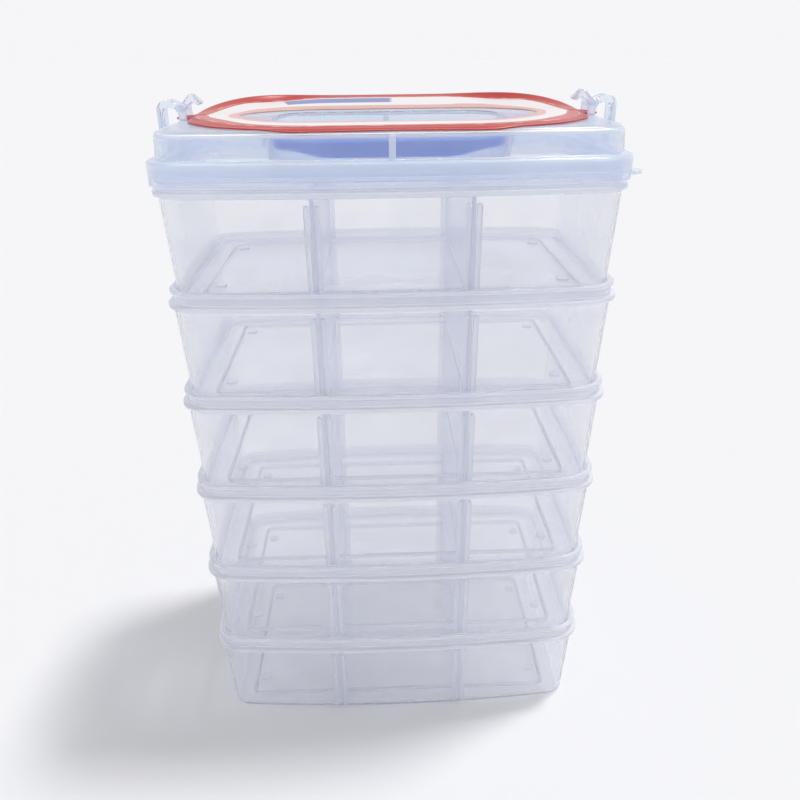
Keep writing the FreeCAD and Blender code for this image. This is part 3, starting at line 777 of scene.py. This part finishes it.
for side in (-1, 1):
    boss_rings = [turned((x * side, 0, PIVOT_Z + LID_Z), radius) for x, radius in boss]
    add_rings(fittings, boss_rings, milkiness=FITTING_MILKINESS)
    rib_rings = []
    for z, shrink in ((17.0, 0.0), (29.4, 0.0), (30.2, 0.6)):
        rib_plan = rounded_rect(CENTRE_RIB_HALF - shrink, CENTRE_RIB_DEPTH - shrink, 0.6, steps=3)
        rib_rings.append([(x, y + CENTRE_RIB_Y * side, z + LID_Z) for x, y in rib_plan])
    add_rings(fittings, rib_rings, close_start=True, close_end=True, milkiness=1.0)
    for near in LUG_STARTS:
        lug_rings = []
        for points, y, shrink in lug_steps:
            ring = []
            for u, v in points:
                x = HINGE_X + u * (1 - shrink)
                ring.append((x * side, near + y, HINGE_Z + v * (1 - shrink) + LID_Z))
            lug_rings.append(ring)
        add_rings(fittings, lug_rings, milkiness=FITTING_MILKINESS)
LIFT_TAB_X = 125.1
LIFT_TAB_Y = -60.0
LIFT_TAB_RADIUS = 7.0
tab_arc = [math.radians(-84 + 168 * i / 24) for i in range(25)]
tab_rings = []
for z, shrink in ((7.0, 0.6), (7.5, 0.0), (8.7, 0.0), (9.2, 0.6)):
    radius = LIFT_TAB_RADIUS - shrink
    ring = []
    for t in tab_arc:
        ring.append((LIFT_TAB_X + radius * math.cos(t), LIFT_TAB_Y + radius * math.sin(t), z + LID_Z))
    tab_rings.append(ring)
add_rings(fittings, tab_rings, close_start=True, close_end=True, milkiness=0.6)
bpy.data.objects.remove(lid)
lid = new_piece("lid_moulding", fittings)
lid.data.materials.append(lid_plastic)
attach(lid, "lid")
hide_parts("lid")

# Handle: a bail in solid blue polypropylene with a belly for the fingers. Round stubs at its two arms turn in
# the walls of the well.
handle_blue = bpy.data.materials.new("blue_moulded_polypropylene")
handle_blue.use_nodes = True
tree = handle_blue.node_tree
tree.nodes.clear()
place = put(tree, "ShaderNodeTexCoord").outputs["Object"]
grain = put(tree, "ShaderNodeTexNoise", {"Vector": place, "Scale": 1 / (1.2 * MM), "Detail": 2.0})
cloud = put(tree, "ShaderNodeTexNoise", {"Vector": place, "Scale": 1 / (22 * MM), "Detail": 2.0})
shade = put(
    tree,
    "ShaderNodeMix",
    {"Factor": cloud.outputs["Fac"], "A": linear("#1C6EE0"), "B": linear("#287AE8")},
    data_type="RGBA",
)
bump = put(tree, "ShaderNodeBump", {"Height": grain.outputs["Fac"], "Strength": 0.08, "Distance": 0.2 * MM})
blue = put(
    tree,
    "ShaderNodeBsdfPrincipled",
    {
        "Base Color": shade.outputs["Result"],
        "Roughness": 0.34,
        "IOR": POLYPROPYLENE_IOR,
        "Normal": bump.outputs["Normal"],
    },
)
put(tree, "ShaderNodeOutputMaterial", {"Surface": blue.outputs["BSDF"]})
HANDLE_HALF = 66.0
HANDLE_REACH = 36.0
HANDLE_CORNER = 18.0
ARM_WIDTH = 9.0
GRIP_DEPTH = 11.0
ARM_HALF = 3.0
GRIP_BELLY = 5.0
STUB_RADIUS = 2.2
STUB_START = 62.0
STUB_END = 71.6


def ease(value, low, high):
    """0 below low and 1 above high, with a smooth rise between them."""
    t = max(0.0, min(1.0, (value - low) / (high - low)))
    return t * t * (3 - 2 * t)


bail_side = []
for y in (2.95, 2.6, 2.0, 1.0, 0.0, -6.0, -12.0):
    bail_side.append(((HANDLE_HALF, y), (HANDLE_HALF - ARM_WIDTH, y)))
inner_corner = HANDLE_CORNER - ARM_WIDTH
middle_x = HANDLE_HALF - HANDLE_CORNER
for step in range(13):
    t = math.pi / 2 * step / 12
    outer_y = HANDLE_CORNER - HANDLE_REACH - HANDLE_CORNER * math.sin(t)
    inner_y = inner_corner - (HANDLE_REACH - GRIP_DEPTH) - inner_corner * math.sin(t)
    outer = (middle_x + HANDLE_CORNER * math.cos(t), outer_y)
    bail_side.append((outer, (middle_x + inner_corner * math.cos(t), inner_y)))
for x in (40.0, 32.0, 24.0, 16.0, 8.0):
    bail_side.append(((x, -HANDLE_REACH), (x, GRIP_DEPTH - HANDLE_REACH)))
bail = bail_side + [((0.0, -HANDLE_REACH), (0.0, GRIP_DEPTH - HANDLE_REACH))]
bail += [((-a, b), (-c, d)) for (a, b), (c, d) in reversed(bail_side)]
handle_mesh = bmesh.new()
bail_rings = []
for (outer_x, outer_y), (inner_x, inner_y) in bail:
    half_height = math.sqrt(ARM_HALF**2 - outer_y**2) if outer_y > 0 else ARM_HALF
    top = PIVOT_Z + half_height
    low = PIVOT_Z - half_height
    if outer_y < -14:
        low -= GRIP_BELLY * (1 - ease(abs(outer_x), 30.0, 58.0))
    soft = min(2.2, half_height * 0.8)
    ring = []
    width = math.hypot(inner_x - outer_x, inner_y - outer_y)
    section = rounded_path(
        [(0, low, soft), (width, low, soft), (width, top, soft), (0, top, soft)], closed=True, steps=4
    )
    for u, z in section:
        part = u / width
        ring.append((outer_x + (inner_x - outer_x) * part, outer_y + (inner_y - outer_y) * part, z + LID_Z))
    bail_rings.append(ring)
add_rings(handle_mesh, bail_rings, close_start=True, close_end=True)
for side in (-1, 1):
    stub = ((STUB_START, STUB_RADIUS), (STUB_END - 0.6, STUB_RADIUS), (STUB_END, STUB_RADIUS - 0.5))
    stub_rings = [turned((x * side, 0, PIVOT_Z + LID_Z), radius, count=24) for x, radius in stub]
    add_rings(handle_mesh, stub_rings, close_start=True, close_end=True)
handle = new_piece("handle_bail", handle_mesh, sharp=50)
handle.data.materials.append(handle_blue)
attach(handle, "handle")
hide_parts("handle")

# Clips: bent straps moulded in clear polypropylene, one at each end of the lid. Each turns on a pin between
# two lugs, with a toe below the flange of the top tray and a tail to press.
LEG_IN = 128.7
LEG_OUT = 132.1
LEG_FOOT = -4.6
TOE_IN = 126.5
TOE_TOP = -1.0
CLIP_HALF_WIDTH = 6.0
clip_outline = rounded_path(
    [
        (LEG_OUT, LEG_FOOT, 0.8),
        (LEG_OUT, HINGE_Z + 3.4, 5.0),
        (HINGE_X + 7.4, HINGE_Z + 4.6, 4.0),
        (HINGE_X + 0.4, HINGE_Z + 1.8, 2.0),
        (HINGE_X - 5.0, HINGE_Z + 7.9, 1.8),
        (HINGE_X - 10.6, HINGE_Z + 2.6, 0.7),
        (HINGE_X - 9.4, HINGE_Z + 1.1, 0.7),
        (HINGE_X - 6.4, HINGE_Z + 3.8, 1.0),
        (HINGE_X - 0.4, HINGE_Z - 2.4, 2.0),
        (HINGE_X + 7.2, HINGE_Z + 0.7, 3.0),
        (LEG_IN, HINGE_Z - 0.2, 2.2),
        (LEG_IN, TOE_TOP, 0.4),
        (TOE_IN, TOE_TOP, 0.5),
        (TOE_IN, TOE_TOP - 1.8, 0.7),
        (LEG_IN, LEG_FOOT, 0.6),
    ],
    closed=True,
)
clip_plastic = see_through_plastic(
    "clear_clip_polypropylene",
    tint="#E6EEFE",
    thick_tint="#EEF4FF",
    cast="#F6FAFF",
    veil=0.18,
    thick_veil=0.4,
    edge_veil=0.8,
    roughness=0.12,
    haze=0.06,
)
for word, side in (("left", -1), ("right", 1)):
    clip_mesh = bmesh.new()
    front = []
    for x, z in clip_outline:
        front.append(clip_mesh.verts.new(Vector((x * side, -CLIP_HALF_WIDTH, z + LID_Z)) * MM))
    face = clip_mesh.faces.new(front)
    grown = bmesh.ops.extrude_face_region(clip_mesh, geom=[face])
    moved = [thing for thing in grown["geom"] if isinstance(thing, bmesh.types.BMVert)]
    bmesh.ops.translate(clip_mesh, verts=moved, vec=Vector((0, 2 * CLIP_HALF_WIDTH, 0)) * MM)
    bmesh.ops.recalc_face_normals(clip_mesh, faces=clip_mesh.faces)
    rims = [edge for edge in clip_mesh.edges if any(len(f.verts) > 8 for f in edge.link_faces)]
    bmesh.ops.bevel(clip_mesh, geom=rims, offset=0.5 * MM, segments=3, profile=0.5, affect="EDGES")
    clip = new_piece(f"clip_{word}_strap", clip_mesh)
    clip.data.materials.append(clip_plastic)
    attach(clip, f"clip_{word}")
    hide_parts(f"clip_{word}")
    pin_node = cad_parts[f"clip_pin_{word}"]
    pin_node.data.materials.clear()
    pin_node.data.materials.append(clip_plastic)

# Card: a printed oval of coated paperboard that lies on the lid. Its outer border is creased down to the lid
# at the front, its back stands up, and a tab at each end is tucked under a clip.
CARD_SPINE = 42.0
HOLE_RADIUS = 43.5
CARD_RADIUS = 71.0
LIP_REACH = 5.2
TAB_REACH = 9.0
TAB_HALF_WIDTH = 8.0
CREASE = 0.8
CARD_THICKNESS = 0.7
CARD_CLEARANCE = 0.85
CARD_ROWS = 20
LIP_ROWS = 8
SPINE_STEPS = 30
END_STEPS = 120


def card_point(middle, turn, out):
    """A point of the card's top. The card is a band round a straight spine: middle is where on the spine,
    turn is the way out from it, and out goes from the edge of the hole to the outer edge. Its height over the
    lid's flat top is set at the hole, at the crease and at the outer edge, for the front, the back, the front
    corners and the ends, and it stays clear of the lid's round edge."""
    c, s = math.cos(turn), math.sin(turn)
    back = ease(s, -0.15, 0.85)
    front = ease(-s, 0.55, 1.0)
    corner = ease(-s, 0.0, 0.5) - front
    ends = max(0.0, 1 - back - front - corner)
    tab = ease(TAB_HALF_WIDTH - CARD_RADIUS * abs(s), 0.0, 5.5)
    reach = CARD_RADIUS + TAB_REACH * tab + LIP_REACH * (front + 0.6 * corner)
    distance = HOLE_RADIUS + (reach - HOLE_RADIUS) * out
    x, y = middle + distance * c, distance * s
    hump = math.exp(-(((abs(x) - 75) / 24) ** 2))
    lifted = 3.1 if c < 0 else 2.0
    at_hole = 1.4 * front + 1.6 * back + 1.9 * corner + 2.2 * ends
    at_edge = -0.3 * front + (8.2 + 0.9 * hump) * back + 0.85 * corner + 0.85 * ends
    back_crease = at_hole + (at_edge - at_hole) * (CREASE - 0.3 * hump)
    at_crease = 1.7 * front + back_crease * back + lifted * corner + (2.6 - 1.6 * tab) * ends
    if out < CREASE:
        rise = at_hole + (at_crease - at_hole) * out / CREASE
    else:
        rise = at_crease + (at_edge - at_crease) * ((out - CREASE) / (1 - CREASE)) ** 1.3
    from_edge = PLAN_HALF_DEPTH - x * x / (2 * PLAN_BOW) - abs(y)
    over_fillet = min(max(TOP_INSET + TOP_FILLET - from_edge, 0.0), TOP_FILLET)
    surface = math.sqrt(TOP_FILLET**2 - over_fillet**2) - TOP_FILLET
    return Vector((x, y, LID_Z + PLATEAU + max(rise, surface + CARD_CLEARANCE)))


card_way = []
for side in (1, -1):
    start = -math.pi / 2 * side
    for i in range(SPINE_STEPS):
        card_way.append((CARD_SPINE * side * (2 * i / SPINE_STEPS - 1), start))
    for i in range(END_STEPS):
        card_way.append((CARD_SPINE * side, start + math.pi * i / END_STEPS))
card_mesh = bmesh.new()
card_uv = card_mesh.loops.layers.uv.new("print")
card_outs = [CREASE * row / CARD_ROWS for row in range(CARD_ROWS)]
card_outs += [CREASE + (1 - CREASE) * row / LIP_ROWS for row in range(LIP_ROWS + 1)]
rows = [[card_mesh.verts.new(card_point(*way, out) * MM) for way in card_way] for out in card_outs]
steps_round = len(card_way)
for row in range(len(card_outs) - 1):
    for i in range(steps_round):
        j = (i + 1) % steps_round
        face = card_mesh.faces.new((rows[row][i], rows[row + 1][i], rows[row + 1][j], rows[row][j]))
        for loop, (u, v) in zip(face.loops, ((i, row), (i, row + 1), (i + 1, row + 1), (i + 1, row))):
            loop[card_uv].uv = (u / steps_round, card_outs[v])
card = new_piece("printed_card", card_mesh, sharp=60)
if card.data.polygons[0].normal.z < 0:
    card.data.flip_normals()
board = card.modifiers.new("board", "SOLIDIFY")
board.thickness = CARD_THICKNESS * MM
board.offset = -1.0
print_card = bpy.data.materials.new("coated_paperboard_print")
print_card.use_nodes = True
tree = print_card.node_tree
tree.nodes.clear()
uv = put(tree, "ShaderNodeUVMap", uv_map="print").outputs["UV"]
across = put(tree, "ShaderNodeSeparateXYZ", {0: uv}).outputs


def ramp_between(tree, value, low, high):
    """0 below low and 1 above high, with an even rise between them."""
    ramp = put(tree, "ShaderNodeMapRange", {"Value": value, "From Min": low, "From Max": high})
    return ramp.outputs["Result"]


def both(tree, first, second):
    """1 where both masks are 1."""
    return put(tree, "ShaderNodeMath", {0: first, 1: second}, operation="MULTIPLY").outputs["Value"]


def painted(tree, mask, under, colour):
    """A colour laid over another where the mask is 1."""
    return put(
        tree, "ShaderNodeMix", {"Factor": mask, "A": under, "B": linear(colour)}, data_type="RGBA"
    ).outputs["Result"]


# Places in the print are shares of the way round the card, from the front left, and of the way out.
BORDER_ENDS = ((0.08, 0.2, 0.24, 0.4), (0.7, 0.86, 0.9, 1.02))
BORDER_START = 0.785
WIDE_BORDER_START = 0.56
along, out = across["X"], across["Y"]
ink_cloud = put(tree, "ShaderNodeTexNoise", {"Vector": uv, "Scale": 5.0, "Detail": 2.0}).outputs["Fac"]
pink_width = put(
    tree,
    "ShaderNodeMapRange",
    {"Value": ink_cloud, "From Min": 0.3, "From Max": 0.7, "To Min": 0.16, "To Max": 0.3},
).outputs["Result"]
inside = put(tree, "ShaderNodeMath", {0: out, 1: pink_width}, operation="LESS_THAN").outputs["Value"]
ink = painted(tree, inside, linear("#F3F0F0"), "#E3AFA6")
blue_band = both(
    tree,
    both(tree, ramp_between(tree, along, 0.545, 0.548), ramp_between(tree, along, 0.652, 0.649)),
    both(tree, ramp_between(tree, out, 0.42, 0.43), ramp_between(tree, out, 0.74, 0.73)),
)
ink = painted(tree, blue_band, ink, "#7C88BE")
swells = []
for rise_start, rise_end, fall_start, fall_end in BORDER_ENDS:
    rising = ramp_between(tree, along, rise_start, rise_end)
    swells.append(both(tree, rising, ramp_between(tree, along, fall_end, fall_start)))
swell = put(tree, "ShaderNodeMath", {0: swells[0], 1: swells[1]}, operation="ADD").outputs["Value"]
border = put(
    tree, "ShaderNodeMapRange", {"Value": swell, "To Min": BORDER_START, "To Max": WIDE_BORDER_START}
).outputs["Result"]
red_edge = put(tree, "ShaderNodeMath", {0: out, 1: border}, operation="GREATER_THAN").outputs["Value"]
ink = painted(tree, red_edge, ink, "#C5372D")
# A broken pale line along the crease: partly cracked ink at the fold, partly a painted glint of the crease.
glint_and_crack_breaks = put(tree, "ShaderNodeTexNoise", {"Vector": uv, "Scale": 60.0, "Detail": 1.0}).outputs["Fac"]
crease_glint_and_crack = both(
    tree,
    both(tree, ramp_between(tree, out, 0.815, 0.82), ramp_between(tree, out, 0.84, 0.835)),
    ramp_between(tree, glint_and_crack_breaks, 0.5, 0.56),
)
ink = painted(tree, crease_glint_and_crack, ink, "#F4E4E2")
card_shader = put(
    tree,
    "ShaderNodeBsdfPrincipled",
    {"Base Color": ink, "Roughness": 0.28, "IOR": 1.5},
)
put(tree, "ShaderNodeOutputMaterial", {"Surface": card_shader.outputs["BSDF"]})
card.data.materials.append(print_card)
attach(card, "lid")
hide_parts("top_card")

# Studio: a floor of white paper in a white room, one soft lamp high on the right and a little behind, a
# strip that only shows as highlights, and a camera where the photograph was taken from.
FLOOR_HALF = 30.0
FLOOR_DROP = 0.2
floor_mesh = bmesh.new()
floor_corners = []
for side_x, side_y in ((-1, -1), (1, -1), (1, 1), (-1, 1)):
    floor_corners.append(floor_mesh.verts.new((FLOOR_HALF * side_x, FLOOR_HALF * side_y, -FLOOR_DROP * MM)))
floor_mesh.faces.new(floor_corners)
paper_floor = new_piece("paper_floor", floor_mesh)
paper = bpy.data.materials.new("matt_white_paper")
paper.use_nodes = True
paper_shader = paper.node_tree.nodes["Principled BSDF"]
paper_shader.inputs["Base Color"].default_value = linear("#F3F3F4")
paper_shader.inputs["Roughness"].default_value = 0.9
paper_shader.inputs["Specular IOR Level"].default_value = 0.1
paper_floor.data.materials.append(paper)

world = bpy.data.worlds.new("white_studio")
bpy.context.scene.world = world
world.use_nodes = True
tree = world.node_tree
tree.nodes.clear()
path = put(tree, "ShaderNodeLightPath").outputs
seen = put(
    tree, "ShaderNodeMath", {0: path["Is Camera Ray"], 1: path["Is Glossy Ray"]}, operation="MAXIMUM"
)
seen = put(
    tree, "ShaderNodeMath", {0: seen.outputs[0], 1: path["Is Transmission Ray"]}, operation="MAXIMUM"
)
level = put(tree, "ShaderNodeMapRange", {"Value": seen.outputs[0], "To Min": 0.6, "To Max": 0.96})
sky = put(tree, "ShaderNodeBackground", {"Color": linear("#FAFAFC"), "Strength": level.outputs["Result"]})
put(tree, "ShaderNodeOutputWorld", {"Surface": sky.outputs["Background"]})

lamp = bpy.data.lights.new("high_right_lamp", "SUN")
lamp.energy = 1.5
lamp.angle = math.radians(9)
lamp_holder = bpy.data.objects.new("high_right_lamp", lamp)
lamp_holder.rotation_euler = Vector((-0.31, -0.12, -0.94)).to_track_quat("-Z", "Y").to_euler()
bpy.context.scene.collection.objects.link(lamp_holder)

strip = bpy.data.lights.new("highlight_strip", "AREA")
strip.shape = "RECTANGLE"
strip.size = 2.4
strip.size_y = 0.3
strip.energy = 50.0
strip_holder = bpy.data.objects.new("highlight_strip", strip)
strip_place = Vector((0.0, -0.9, 1.7))
strip_aim = (Vector((0, 0, 0.2)) - strip_place).to_track_quat("-Z", "Y").to_matrix().to_4x4()
strip_holder.matrix_world = Matrix.Translation(strip_place) @ strip_aim
strip_holder.visible_diffuse = False
strip_holder.visible_camera = False
strip_holder.visible_transmission = False
bpy.context.scene.collection.objects.link(strip_holder)

camera = bpy.data.cameras.new("photo_camera")
camera.sensor_width = 36.0
camera.lens = 33.15
camera_holder = bpy.data.objects.new("photo_camera", camera)
CAMERA_PLACE = (-0.0100, -0.4593, 0.4288)
yaw, pitch, roll = math.radians(1.85), math.radians(25.56), math.radians(-0.64)
turned_down = Matrix.Rotation(-yaw, 4, "Z") @ Matrix.Rotation(math.pi / 2 - pitch, 4, "X")
aim = turned_down @ Matrix.Rotation(roll, 4, "Z")
camera_holder.matrix_world = Matrix.Translation(CAMERA_PLACE) @ aim
bpy.context.scene.collection.objects.link(camera_holder)
bpy.context.scene.camera = camera_holder
bpy.context.scene.view_settings.view_transform = "Standard"
bpy.context.scene.cycles.transparent_max_bounces = 48
bpy.context.scene.cycles.max_bounces = 28
bpy.context.scene.cycles.transmission_bounces = 28
bpy.context.scene.cycles.diffuse_bounces = 3
bpy.context.scene.cycles.glossy_bounces = 2
